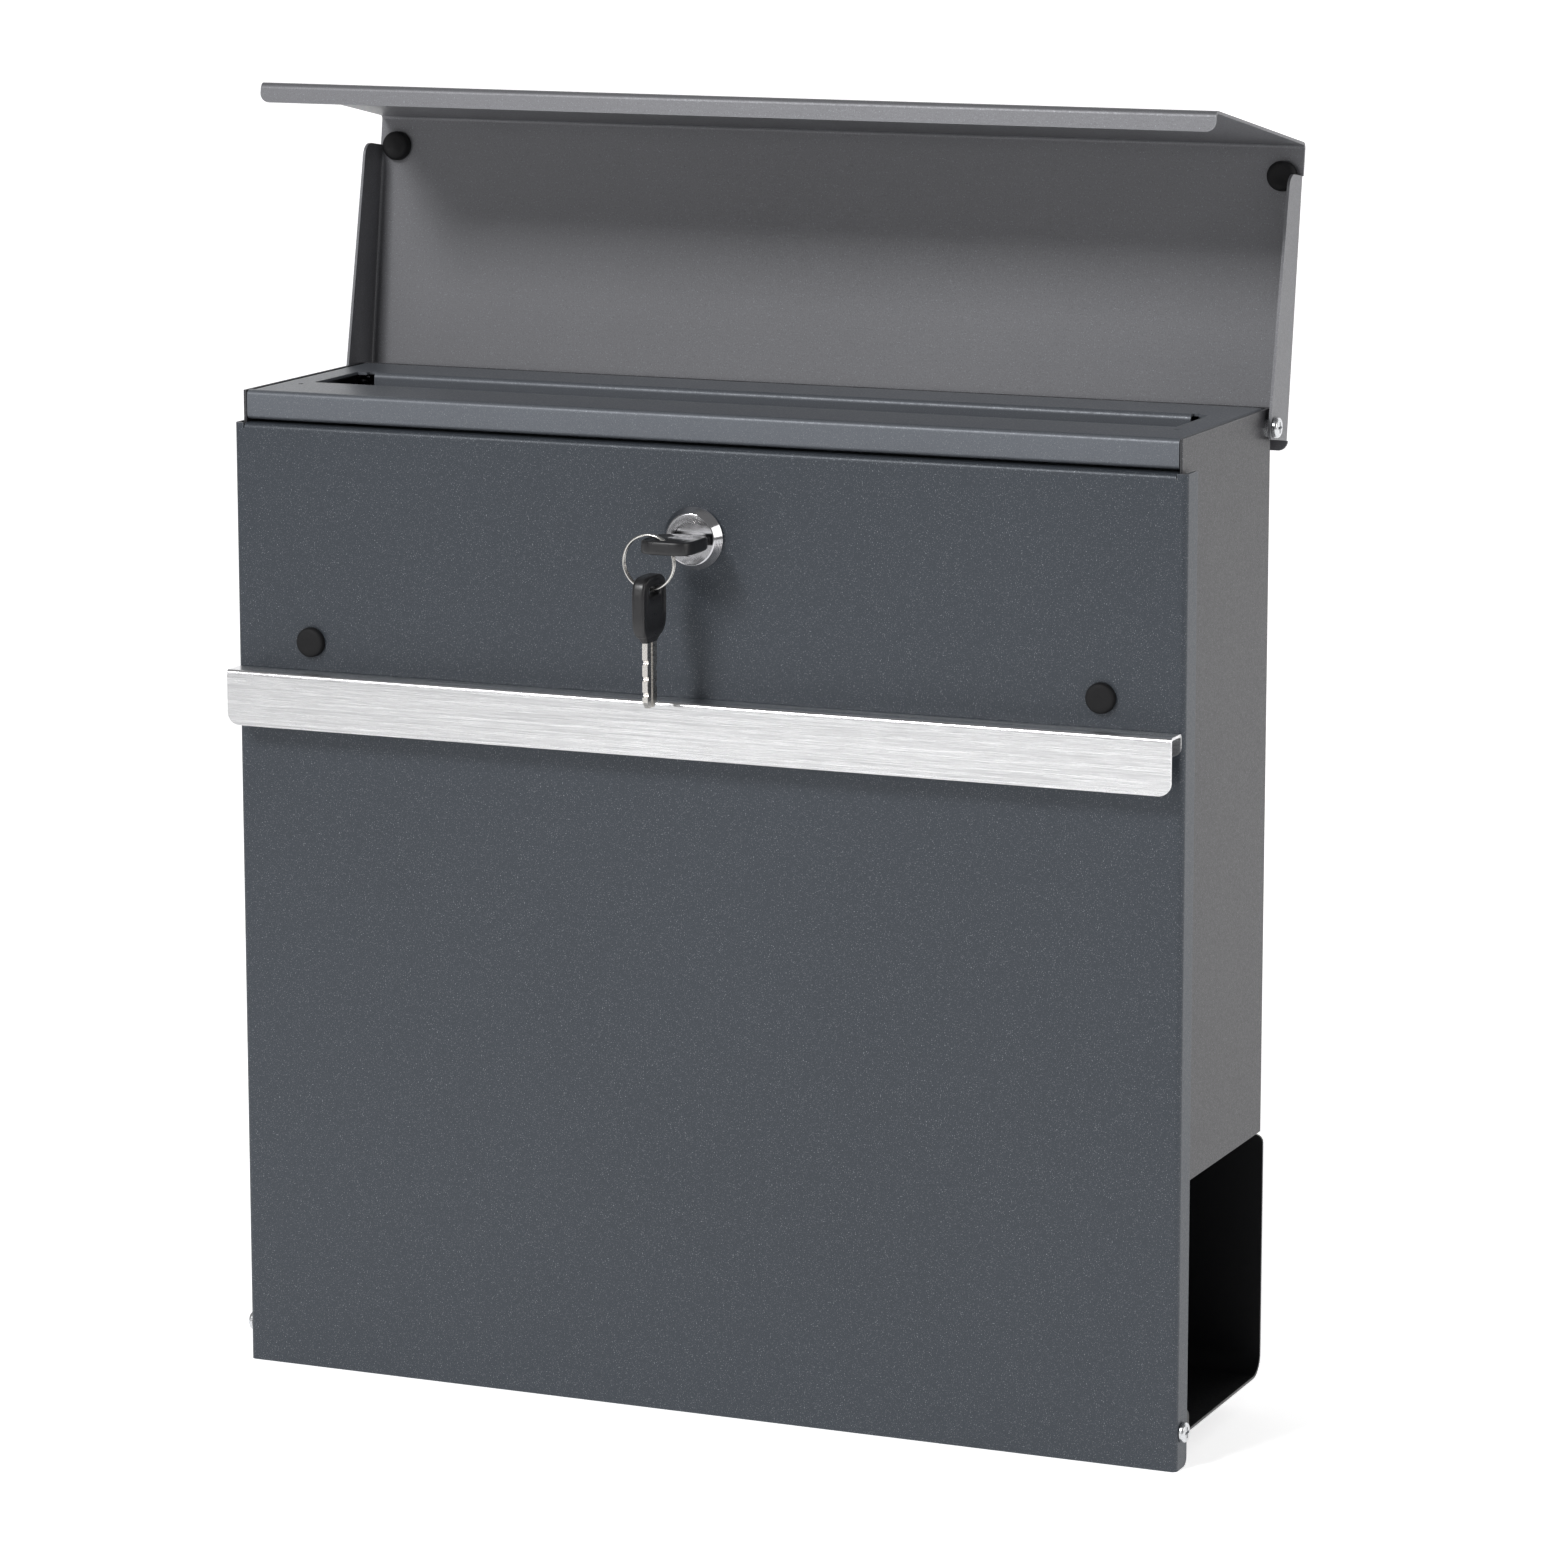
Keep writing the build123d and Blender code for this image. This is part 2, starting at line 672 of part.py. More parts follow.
def key_blade(plane, name):
    """Flat steel blade: the plane's y runs from the blade to the head, from the shoulder."""
    with BuildPart() as blade:
        with BuildSketch(plane) as outline:
            with Locations((0, (blade_rooted - blade_length) / 2)):
                Rectangle(blade_width, blade_rooted + blade_length)
            chamfer(outline.vertices().group_by(Axis.Y)[0], blade_point)
        extrude(amount=blade_thick / 2, both=True)
        with BuildSketch(plane.offset(-blade_thick / 2)):
            blade_tip = blade_notch_first - blade_length
            for i in range(wafer_count):
                side = 1 if i % 2 else -1
                with Locations((side * blade_width / 2, blade_tip + i * wafer_pitch)):
                    Circle(blade_notch)
        extrude(amount=blade_thick, mode=Mode.SUBTRACT)
        with BuildSketch(plane.offset(blade_thick / 2)):
            with Locations((0, -blade_length / 2)):
                Rectangle(blade_groove, blade_length)
        extrude(amount=-blade_groove_depth, mode=Mode.SUBTRACT)
    save(blade.part, name)


def key_head(plane, name):
    """Moulded head round the end of the blade, with a slot for the ring."""
    with BuildPart() as head:
        with BuildSketch(plane):
            with Locations((0, key_length / 2)):
                RectangleRounded(key_width, key_length, key_corner)
        extrude(amount=key_thick / 2, both=True)
        rims = head.faces().filter_by(Axis(plane.origin, plane.z_dir)).edges()
        fillet(rims, key_round)
        with BuildSketch(plane):
            with Locations((0, key_slot_middle)):
                SlotOverall(key_slot, key_slot_height)
        extrude(amount=key_thick / 2, both=True, mode=Mode.SUBTRACT)
        flats = head.faces().filter_by(Axis(plane.origin, plane.z_dir))
        mouths = [face.inner_wires()[0] for face in flats if face.inner_wires()]
        fillet([edge for wire in mouths for edge in wire.edges()], key_slot_round)
        with BuildSketch(plane):
            with Locations((0, blade_rooted / 2)):
                Rectangle(blade_width, blade_rooted)
        extrude(amount=blade_thick / 2, both=True, mode=Mode.SUBTRACT)
    save(head.part, name)


# ---- key in the lock, lying flat ----------------------------------------------------
shoulder_y = plug_face - shoulder_gap
key_plane = Plane(origin=(0, shoulder_y, lock_z), x_dir=(1, 0, 0), z_dir=(0, 0, -1))
key_blade(key_plane, "key_blade")
key_head(key_plane, "key_head")

# ---- key ring: through the slot and round one side of the head ----------------------
ring_x = -(key_slot + key_width) / 4
ring_y = shoulder_y - key_slot_middle
ring_z = lock_z - ring_drop
with BuildPart() as key_ring:
    with Locations(Plane(origin=(ring_x, ring_y, ring_z), z_dir=(0, 1, 0))):
        Torus(ring_radius, ring_wire / 2)
save(key_ring.part, "key_ring")

# ---- spare key: hangs from the ring, edge on ----------------------------------------
spare_shoulder_z = ring_z - ring_radius - spare_drop - key_slot_middle
spare_plane = Plane(origin=(ring_x, ring_y, spare_shoulder_z), x_dir=(0, 1, 0), z_dir=(1, 0, 0))
key_blade(spare_plane, "spare_key_blade")
key_head(spare_plane, "spare_key_head")

# ---- lid: panel, front flap and lip, with side flanges outside the body -------------
taper = Vector(0, 1).rotate(Axis.Z, -lid_flange_taper)
flange_top_u = -lid_flange_front + lid_flange_top * taper.X / taper.Y
flange_line = [
    (half_width, -lid_flange_front - bend),
    (half_width, lid_offset),
    (-half_width, lid_offset),
    (-half_width, -lid_flange_front - bend),
]
panel_line = [(lid_offset, lid_flange_top), (lid_offset, lid_reach), flap_tip, lip_tip]
across = Plane(
    origin=lid_plane.from_local_coords((0, -lid_flange_below, 0)),
    x_dir=(1, 0, 0),
    z_dir=lid_plane.y_dir,
)
with BuildPart() as lid:
    extrude(
        folded(across, flange_line, Side.LEFT),
        amount=lid_flange_top + lid_flange_below,
    )
    with BuildSketch(lid_plane) as outline:
        Polygon(
            (lid_offset, -lid_flange_below),
            (lid_offset, lid_flange_top),
            (flange_top_u, lid_flange_top),
            (-lid_flange_front, -lid_flange_below),
            align=None,
        )
        for point, radius in (
            ((flange_top_u, lid_flange_top), lid_flange_round),
            ((-lid_flange_front, -lid_flange_below), lid_flange_toe),
        ):
            fillet(outline.vertices().sort_by_distance((*point, 0))[0], radius)
    extrude(amount=half_width, both=True, mode=Mode.INTERSECT)
    extrude(
        folded(lid_plane, panel_line, Side.LEFT, lid_bend),
        amount=half_width,
        both=True,
    )
    with BuildSketch(lid_plane):
        with Locations((lid_offset - sheet / 2, -(lid_flange_below + lid_tail) / 2)):
            Rectangle(sheet, lid_tail - lid_flange_below)
    extrude(amount=half_width, both=True)
    for x in (half_width, -half_width):
        for corner_at, radius in (
            ((lid_offset - sheet / 2, -lid_tail, x), lid_tail_corner),
            ((lip_tip.X, lip_tip.Y, x), lip_corner),
        ):
            across_sheet = lid.edges().filter_by(lambda e: abs(e.length - sheet) < 0.001)
            point = lid_plane.from_local_coords(corner_at)
            fillet(across_sheet.sort_by_distance(point)[0], radius)
    with BuildSketch(lid_plane):
        Circle(screw_hole / 2)
    extrude(amount=half_width, both=True, mode=Mode.SUBTRACT)
save(lid.part, "lid")

# ---- lid bumpers: rubber pads that the shut lid rests on, on the top plate ----------
pad_plane = Plane(
    origin=lid_plane.from_local_coords((lid_offset - sheet, lid_reach - lid_bumper_back, 0)),
    x_dir=(1, 0, 0),
    z_dir=-lid_plane.x_dir,
)
with BuildPart() as lid_bumpers:
    with BuildSketch(pad_plane):
        with GridLocations(2 * lid_bumper_x, 0, 2, 1):
            Circle(bumper / 2)
    extrude(amount=lid_bumper_height)
    pad_axis = Axis(pad_plane.origin, pad_plane.z_dir)
    pads = lid_bumpers.faces().filter_by(GeomType.PLANE).group_by(pad_axis)
    fillet(pads[-1].edges(), bumper_round)
save(lid_bumpers.part, "lid_bumpers")
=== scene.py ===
"""Wall mailbox of folded sheet steel, dressed for the studio and shown with its lid open.

Metres throughout; X runs along the width, Y from the door towards the wall, Z up.
New pieces are numpy surfaces.  Every one is a grid of points given by two parameters:
a profile turned about an axis, or a closed section carried along a path.
"""
import json

import bmesh
import bpy
import numpy as np
from mathutils import Matrix, Vector


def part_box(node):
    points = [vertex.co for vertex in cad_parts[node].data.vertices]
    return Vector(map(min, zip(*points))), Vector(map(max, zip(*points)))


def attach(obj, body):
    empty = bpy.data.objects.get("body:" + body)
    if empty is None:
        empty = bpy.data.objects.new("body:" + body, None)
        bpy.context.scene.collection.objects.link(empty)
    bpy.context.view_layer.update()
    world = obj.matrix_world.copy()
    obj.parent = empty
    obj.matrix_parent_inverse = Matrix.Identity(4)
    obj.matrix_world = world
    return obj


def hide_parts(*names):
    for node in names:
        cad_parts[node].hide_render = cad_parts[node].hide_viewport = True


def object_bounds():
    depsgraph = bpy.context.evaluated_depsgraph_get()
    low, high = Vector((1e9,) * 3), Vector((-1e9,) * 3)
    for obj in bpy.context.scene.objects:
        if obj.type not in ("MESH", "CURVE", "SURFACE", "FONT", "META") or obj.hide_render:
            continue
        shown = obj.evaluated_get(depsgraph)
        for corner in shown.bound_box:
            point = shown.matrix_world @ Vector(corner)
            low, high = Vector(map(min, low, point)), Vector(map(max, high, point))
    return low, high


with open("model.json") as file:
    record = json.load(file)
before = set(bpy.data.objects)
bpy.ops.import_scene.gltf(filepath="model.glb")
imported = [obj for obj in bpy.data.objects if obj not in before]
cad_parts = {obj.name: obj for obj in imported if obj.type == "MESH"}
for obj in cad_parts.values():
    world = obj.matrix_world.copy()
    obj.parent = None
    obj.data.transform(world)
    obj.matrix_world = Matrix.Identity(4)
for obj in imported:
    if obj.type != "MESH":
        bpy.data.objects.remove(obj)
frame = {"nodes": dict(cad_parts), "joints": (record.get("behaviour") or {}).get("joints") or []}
cad_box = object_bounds()


# ---- studio sweep -------------------------------------------------------------------
# A roll of pale paper: flat under the box, curved up behind it into a wall.
# The box stands on the lower edge of its door.
def surface(name, grids, closed=(False, False)):
    """One smooth mesh from grids of points; faces join each point to its next both ways.

    A closed parameter joins its last row to its first.  Points that fall together, as
    at a pole, are merged.  The pyramids that a grid's faces make with the origin add up
    to its volume; where that is negative, the faces are turned round to point outwards.
    """
    verts, faces, start = [], [], 0
    for grid in grids:
        rows, columns = grid.shape[:2]
        i, j = np.meshgrid(
            np.arange(rows - (not closed[0])), np.arange(columns - (not closed[1])), indexing="ij"
        )
        following, beside = (i + 1) % rows, (j + 1) % columns
        quads = np.stack([
            i * columns + j,
            following * columns + j,
            following * columns + beside,
            i * columns + beside,
        ], -1).reshape(-1, 4)
        flat_list = grid.reshape(-1, 3)
        a, b, c, d = flat_list[quads].transpose(1, 0, 2)
        volume = (np.cross(a, b) * c).sum() + (np.cross(a, c) * d).sum()
        if volume < 0:
            quads = quads[:, ::-1]
        verts.append(flat_list)
        faces.append(quads + start)
        start += rows * columns
    mesh = bpy.data.meshes.new(name)
    mesh.from_pydata(np.concatenate(verts).tolist(), [], np.concatenate(faces).tolist())
    work = bmesh.new()
    work.from_mesh(mesh)
    bmesh.ops.remove_doubles(work, verts=work.verts, dist=1e-6)
    bmesh.ops.dissolve_degenerate(work, edges=work.edges, dist=1e-7)
    work.to_mesh(mesh)
    work.free()
    mesh.polygons.foreach_set("use_smooth", np.full(len(mesh.polygons), True))
    piece = bpy.data.objects.new(name, mesh)
    bpy.context.scene.collection.objects.link(piece)
    return piece


def connect(tree, node, sockets):
    """Each socket named gets a value or another node's output."""
    for key, value in sockets.items():
        if isinstance(value, bpy.types.NodeSocket):
            tree.links.new(value, node.inputs[key])
        else:
            node.inputs[key].default_value = value


def put(tree, kind, sockets=None, **settings):
    """A new node of that kind, with its settings made and then its sockets connected."""
    node = tree.nodes.new("ShaderNode" + kind)
    for key, value in settings.items():
        setattr(node, key, value)
    connect(tree, node, sockets or {})
    return node


def own_place(tree):
    """Where a point lies on the piece, in metres."""
    return put(tree, "TexCoord").outputs["Object"]


def noise(tree, place, scale, detail, roughness=0.5, distortion=0.0):
    """Cloudy noise over that place, from 0 to 1."""
    return put(tree, "TexNoise", {
        "Vector": place, "Scale": scale, "Detail": detail,
        "Roughness": roughness, "Distortion": distortion,
    }).outputs[0]


def ranged(tree, value, start, end, first=0.0, last=1.0):
    """That value, with start made first, end made last and what lies outside held there."""
    return put(tree, "MapRange", {
        "Value": value, "From Min": start, "From Max": end, "To Min": first, "To Max": last,
    }).outputs[0]


def blend(tree, share, first, second):
    """The first colour, with that share of the second in its place."""
    return put(tree, "Mix", {0: share, 6: first, 7: second}, data_type="RGBA").outputs[2]


def reckon(tree, operation, first, second):
    """One step of arithmetic with two values."""
    return put(tree, "Math", {0: first, 1: second}, operation=operation).outputs[0]


def blank_material(name):
    """A material with its tree emptied down to one Principled shader and the output."""
    material = bpy.data.materials.new(name)
    material.use_nodes = True
    tree = material.node_tree
    tree.nodes.clear()
    shader = put(tree, "BsdfPrincipled")
    put(tree, "OutputMaterial", {"Surface": shader.outputs[0]})
    return material, tree, shader


floor_level = cad_box[0][2]
roll_half_width, roll_length, roll_front = 4.0, 7.5, -3.0
level_run = 4.2  # from the roll's front end to the start of its curve
curve_radius = 0.9
# the roll runs level, then turns up through a quarter circle, then goes straight up
across = np.linspace(-roll_half_width, roll_half_width, 9)
run = roll_length * np.linspace(0, 1, 60)
turn = np.clip((run - level_run) / curve_radius, 0, np.pi / 2)
upright_run = np.maximum(run - level_run - curve_radius * np.pi / 2, 0)
roll_depth = roll_front + np.minimum(run, level_run) + curve_radius * np.sin(turn)
roll_height = floor_level + curve_radius * (1 - np.cos(turn)) + upright_run
sweep = np.stack(
    np.broadcast_arrays(across[None, :], roll_depth[:, None], roll_height[:, None]), -1
)
paper_roll = surface("paper_roll", [sweep])

paper, tree, shader = blank_material("studio_paper")
place = own_place(tree)
fibre = noise(tree, place, 900.0, 3.0)
tone = blend(tree, fibre, (0.86, 0.86, 0.865, 1), (0.90, 0.90, 0.90, 1))
# the paper glows evenly from beside the box backwards; in front the glow is a round
# patch of floor that fades out
patch = put(tree, "Mapping", {"Vector": place, "Location": (-0.5, 0.3, 0.0)})
away = put(tree, "VectorMath", {0: patch.outputs[0]}, operation="LENGTH")
near = ranged(tree, away.outputs["Value"], 1.15, 1.6, 1.0, 0.0)
depth = put(tree, "SeparateXYZ", {0: place}).outputs[1]
behind = ranged(tree, depth, -0.95, -0.55)
connect(tree, shader, {
    "Base Color": tone,
    "Roughness": 0.9,
    "Specular IOR Level": 0.1,
    "Emission Color": reckon(tree, "MAXIMUM", near, behind),
    "Emission Strength": 0.62,
})
paper_roll.data.materials.append(paper)


# ---- shell --------------------------------------------------------------------------
# Back, sides, narrow front returns and the newspaper floor, folded from one 1 mm steel
# sheet and powder coated anthracite: a fine orange peel with metallic flecks.
def blank_effect(name, inputs, outputs):
    """A shader node group with those named sockets: its tree, what goes in and its exit."""
    tree = bpy.data.node_groups.new(name, "ShaderNodeTree")
    for direction, sockets in (("INPUT", inputs), ("OUTPUT", outputs)):
        for word, kind in sockets.items():
            tree.interface.new_socket(word, in_out=direction, socket_type="NodeSocket" + kind)
    entry = tree.nodes.new("NodeGroupInput")
    return tree, entry.outputs, tree.nodes.new("NodeGroupOutput")


def grouped(tree, effect, sockets):
    """One use of a shader node group in a material, with its own values."""
    return put(tree, "Group", sockets, node_tree=effect).outputs


# Edges are found by a bevel and broken up by noise. Materials make their colour lighter there:
# partly wear, partly a painted highlight along the edges.
wear_and_highlight, given, leave = blank_effect(
    "edge_wear", {"Width": "Float", "Breakup": "Float"}, {"Mask": "Float"}
)
rounded = put(wear_and_highlight, "Bevel", {"Radius": given["Width"]}, samples=6).outputs[0]
flat = put(wear_and_highlight, "NewGeometry").outputs["Normal"]
agree = put(wear_and_highlight, "VectorMath", {0: rounded, 1: flat}, operation="DOT_PRODUCT")
edge = ranged(wear_and_highlight, agree.outputs["Value"], 0.995, 0.88)
patches = noise(wear_and_highlight, own_place(wear_and_highlight), given["Breakup"], 4.0)
broken = ranged(wear_and_highlight, patches, 0.35, 0.65)
connect(wear_and_highlight, leave, {"Mask": reckon(wear_and_highlight, "MULTIPLY", edge, broken)})

coat, given, leave = blank_effect(
    "powder_coat",
    {"Base": "Color", "Fleck": "Color", "Peel": "Float", "Drift": "Float"},
    {"Color": "Color", "Roughness": "Float", "Height": "Float"},
)
place = own_place(coat)
cloud = noise(coat, place, given["Drift"], 3.0)
shade = ranged(coat, cloud, 0.3, 0.7, 0.96, 1.04)
toned = put(coat, "VectorMath", {0: given["Base"], "Scale": shade}, operation="SCALE")
grit = noise(coat, place, 2600.0, 2.0, roughness=0.7)
pits = ranged(coat, grit, 0.40, 0.30, 0.0, 0.4)
pitted = blend(coat, pits, toned.outputs[0], (0.02, 0.022, 0.026, 1))
spark = ranged(coat, grit, 0.60, 0.74)
peel = noise(coat, place, given["Peel"], 3.0, roughness=0.6)
connect(coat, leave, {
    "Color": blend(coat, spark, pitted, given["Fleck"]),
    "Roughness": ranged(coat, peel, 0.3, 0.7, 0.36, 0.50),
    "Height": peel,
})


def anthracite(name, base, drift, painted_shade_limits=None):
    """Anthracite powder coat for one sheet: its own tone and drift, lighter on edges as wear and
    as a painted edge highlight.

    In front of the depth and between the two heights given as the painted shade's limits, the
    coat is painted nearly black, as painted shade.
    """
    material, tree, shader = blank_material(name)
    paint = grouped(tree, coat, {
        "Base": (*base, 1), "Fleck": (0.30, 0.32, 0.34, 1), "Peel": 1150.0, "Drift": drift,
    })
    rub = grouped(tree, wear_and_highlight, {"Width": 0.0007, "Breakup": 140.0})
    # edges lighter: part wear, part painted edge highlight
    worn = reckon(tree, "MULTIPLY", rub["Mask"], 0.35)
    color = blend(tree, worn, paint["Color"], (0.22, 0.235, 0.25, 1))
    # painted shade: the coat is nearly black inside the newspaper fold
    if painted_shade_limits:
        back, bottom, top = painted_shade_limits
        spot = put(tree, "SeparateXYZ", {0: own_place(tree)}).outputs
        in_front = reckon(tree, "LESS_THAN", spot[1], back)
        below = reckon(tree, "LESS_THAN", spot[2], top)
        above = reckon(tree, "GREATER_THAN", spot[2], bottom)
        between = reckon(tree, "MULTIPLY", below, above)
        held = reckon(tree, "MULTIPLY", in_front, between)
        color = blend(tree, held, color, (0.004, 0.004, 0.005, 1))
    relief = put(tree, "Bump", {
        "Strength": 0.55, "Distance": 0.00006, "Height": paint["Height"],
    })
    connect(tree, shader, {
        "Base Color": color,
        "Roughness": paint["Roughness"],
        "Normal": relief.outputs[0],
        "Metallic": 0.25,
        "Specular IOR Level": 0.5,
    })
    return material


def dress(material, *names):
    """That material on the frame's own pieces."""
    for name in names:
        frame["nodes"][name].material_slots[0].material = material


# the newspaper fold's inside is painted nearly black as painted shade; its limits lie within
# the thickness of the back and of the fold's floor, so that their outer faces keep the plain coat
fold_back = -0.0007
fold_bottom = floor_level + 0.0104
fold_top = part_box("letter_floor")[0].z - 0.001
newspaper_fold_painted_shade = (fold_back, fold_bottom, fold_top)
dress(anthracite("shell_coat", (0.036, 0.035, 0.039), 9.0, newspaper_fold_painted_shade), "shell")

# ---- top plate ----------------------------------------------------------------------
# Folded plate with the mail slot, a turned-down guide behind it and the lock's catch.
# The same powder coat, its base painted much lighter than the shell's as painted light
# from above; spot welded between the sides.
dress(anthracite("top_plate_coat", (0.120, 0.131, 0.150), 12.0), "top_plate")

# ---- letter floor -------------------------------------------------------------------
# Tray of the same sheet, welded in as the floor of the letter compartment.
# Its base is painted darker than the shell's, as painted shade inside the box.
dress(anthracite("letter_floor_coat", (0.020, 0.021, 0.024), 14.0), "letter_floor")

# ---- hinge fasteners ----------------------------------------------------------------
# Pan-head steel screws with washers and nuts, bright zinc plated, at the lid's and the
# door's hinges.  Plating is cloudy, with fine scratches from the tumbling barrel.
scratch, given, leave = blank_effect(
    "handling_marks",
    {"Scale": "Float", "Low": "Float", "High": "Float"},
    {"Roughness": "Float", "Height": "Float"},
)
bent = noise(scratch, own_place(scratch), given["Scale"], 5.0, roughness=0.7, distortion=1.5)
connect(scratch, leave, {
    "Roughness": ranged(scratch, bent, 0.3, 0.7, given["Low"], given["High"]),
    "Height": bent,
})


def bare_metal(name, color, worn, marks, low, high, depth):
    """Bare or plated metal: a tone that drifts towards a worn one, and handling marks.

    marks is how fine the marks are, low and high the roughness that they run between,
    and depth the strength of their relief.
    """
    material, tree, shader = blank_material(name)
    lines = grouped(tree, scratch, {"Scale": marks, "Low": low, "High": high})
    rub = grouped(tree, wear_and_highlight, {"Width": 0.0003, "Breakup": marks})
    tone = blend(tree, lines["Height"], (*color, 1), (*worn, 1))
    relief = put(tree, "Bump", {
        "Strength": depth, "Distance": 0.00003, "Height": lines["Height"],
    })
    # edges lighter: part wear, part painted edge highlight
    connect(tree, shader, {
        "Base Color": blend(tree, rub["Mask"], tone, (0.85, 0.85, 0.85, 1)),
        "Roughness": lines["Roughness"],
        "Normal": relief.outputs[0],
        "Metallic": 1.0,
    })
    return material


zinc = bare_metal("zinc_plating", (0.72, 0.73, 0.75), (0.55, 0.56, 0.58), 900.0, 0.16, 0.34, 0.3)
dress(zinc, "lid_hinge_screws", "lid_hinge_washers", "lid_hinge_nuts")
dress(zinc, "door_hinge_screws", "door_hinge_washers", "door_hinge_nuts")

# ---- door ---------------------------------------------------------------------------
# Shallow folded pan of the same sheet, powder coated like the shell.  It hangs on two
# screws low down in its sides.
dress(anthracite("door_coat", (0.040, 0.048, 0.060), 7.0), "door")

# ---- handle strip -------------------------------------------------------------------
# Stainless steel strip, brushed along its length and then bent over the door as a pull.
# The brushing is long thin lines; the bend shows them too.
brushed, tree, shader = blank_material("brushed_strip")
place = own_place(tree)
long_lines = put(tree, "Mapping", {"Vector": place, "Scale": (14.0, 1500.0, 1500.0)})
short_lines = put(tree, "Mapping", {"Vector": place, "Scale": (90.0, 5200.0, 5200.0)})
coarse = noise(tree, long_lines.outputs[0], 1.0, 4.0, roughness=0.65)
fine = noise(tree, short_lines.outputs[0], 1.0, 3.0, roughness=0.6)
grooves = ranged(tree, blend(tree, 0.5, coarse, fine), 0.32, 0.68)
steel = blend(tree, grooves, (0.54, 0.54, 0.55, 1), (0.96, 0.96, 0.97, 1))
rub = grouped(tree, wear_and_highlight, {"Width": 0.0005, "Breakup": 300.0})
relief = put(tree, "Bump", {"Strength": 0.5, "Distance": 0.00004, "Height": grooves})
# edges brighter: part wear, part painted edge highlight
connect(tree, shader, {
    "Base Color": blend(tree, rub["Mask"], steel, (0.92, 0.92, 0.92, 1)),
    "Roughness": ranged(tree, grooves, 0.0, 1.0, 0.34, 0.22),
    "Normal": relief.outputs[0],
    "Metallic": 1.0,
    "Anisotropic": 0.6,
})
dress(brushed, "handle_strip")

# ---- strip rivets -------------------------------------------------------------------
# Domed steel rivets, plain and rolled.  They go through the strip's seat and the door's
# sheet, and are closed from behind.
rivet_steel = bare_metal(
    "rivet_steel", (0.66, 0.66, 0.67), (0.50, 0.50, 0.51), 1300.0, 0.22, 0.42, 0.4
)
dress(rivet_steel, "strip_rivets")


# ---- door bumpers -------------------------------------------------------------------
# Soft rubber buttons, moulded with a rounded rim and a slight dish, stuck to the door
# where the lip of the shut lid comes to rest.
def button(middle, facing, radius, height):
    """A dished button turned about its axis.

    Radius is the cosine and height the sine of a quarter turn, each raised to a power
    under one so that the rim is nearly square; the dish sinks with the square of what
    is left to its edge.  The base closes flat to its own middle.
    """
    side_power, crown_power = 0.30, 0.45
    dish_share, dish_depth = 0.72, 0.14  # of the radius and of the height
    turn, rise = np.meshgrid(
        np.linspace(0, 2 * np.pi, 49)[:-1], np.linspace(0, np.pi / 2, 25), indexing="ij"
    )
    out = radius * np.cos(rise) ** side_power
    out[:, -1] = 0
    up = height * np.sin(rise) ** crown_power
    to_edge = np.clip(1 - (out / (dish_share * radius)) ** 2, 0, 1)
    up = up - dish_depth * height * to_edge ** 2
    base = np.zeros((len(turn), 1))
    out, up = np.hstack([base, out]), np.hstack([base, up])
    turn = np.hstack([turn[:, :1], turn])
    facing = np.array(facing, float) / np.linalg.norm(facing)
    side = np.array([1.0, 0.0, 0.0])
    over = np.cross(facing, side)
    return (np.array(middle) + (out * np.cos(turn))[..., None] * side
            + (out * np.sin(turn))[..., None] * over + up[..., None] * facing)


rubber, tree, shader = blank_material("black_rubber")
dust = grouped(tree, scratch, {"Scale": 700.0, "Low": 0.52, "High": 0.80})
skin = noise(tree, own_place(tree), 2400.0, 3.0)
tone = blend(tree, dust["Height"], (0.006, 0.006, 0.007, 1), (0.015, 0.015, 0.016, 1))
relief = put(tree, "Bump", {"Strength": 0.35, "Distance": 0.00005, "Height": skin})
connect(tree, shader, {
    "Base Color": tone,
    "Roughness": dust["Roughness"],
    "Specular IOR Level": 0.25,
    "Normal": relief.outputs[0],
})

low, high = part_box("door_bumpers")
bumper_radius = (high.z - low.z) / 2
door_buttons = [
    button((x, high.y, (low.z + high.z) / 2), (0, -1, 0), bumper_radius, high.y - low.y)
    for x in (low.x + bumper_radius, high.x - bumper_radius)
]
door_pads = surface("door_pads", door_buttons, (True, False))
door_pads.data.materials.append(rubber)
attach(door_pads, "door")
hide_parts("door_bumpers")

# ---- lock ---------------------------------------------------------------------------
# Chromed zinc housing with a bevelled collar, held by a nut behind the door, and the
# plug that turns in it.  Lathe rings lie round the lock's axis under the chrome.
joints = {joint["name"]: joint for joint in frame["joints"]}
lock_middle = joints["lock_turn"]["pos_m"]
chrome, tree, shader = blank_material("turned_chrome")
centred = put(tree, "Mapping", {
    "Vector": own_place(tree), "Location": tuple(-c for c in lock_middle),
})
rings = put(tree, "TexWave", {
    "Vector": centred.outputs[0], "Scale": 900.0, "Distortion": 1.2, "Detail": 2.0,
}, wave_type="RINGS", rings_direction="Y")
marks = grouped(tree, scratch, {"Scale": 800.0, "Low": 0.05, "High": 0.16})
rub = grouped(tree, wear_and_highlight, {"Width": 0.0003, "Breakup": 500.0})
tone = blend(tree, marks["Height"], (0.62, 0.62, 0.64, 1), (0.42, 0.42, 0.44, 1))
relief = put(tree, "Bump", {
    "Strength": 0.12, "Distance": 0.00003, "Height": rings.outputs[1],
})
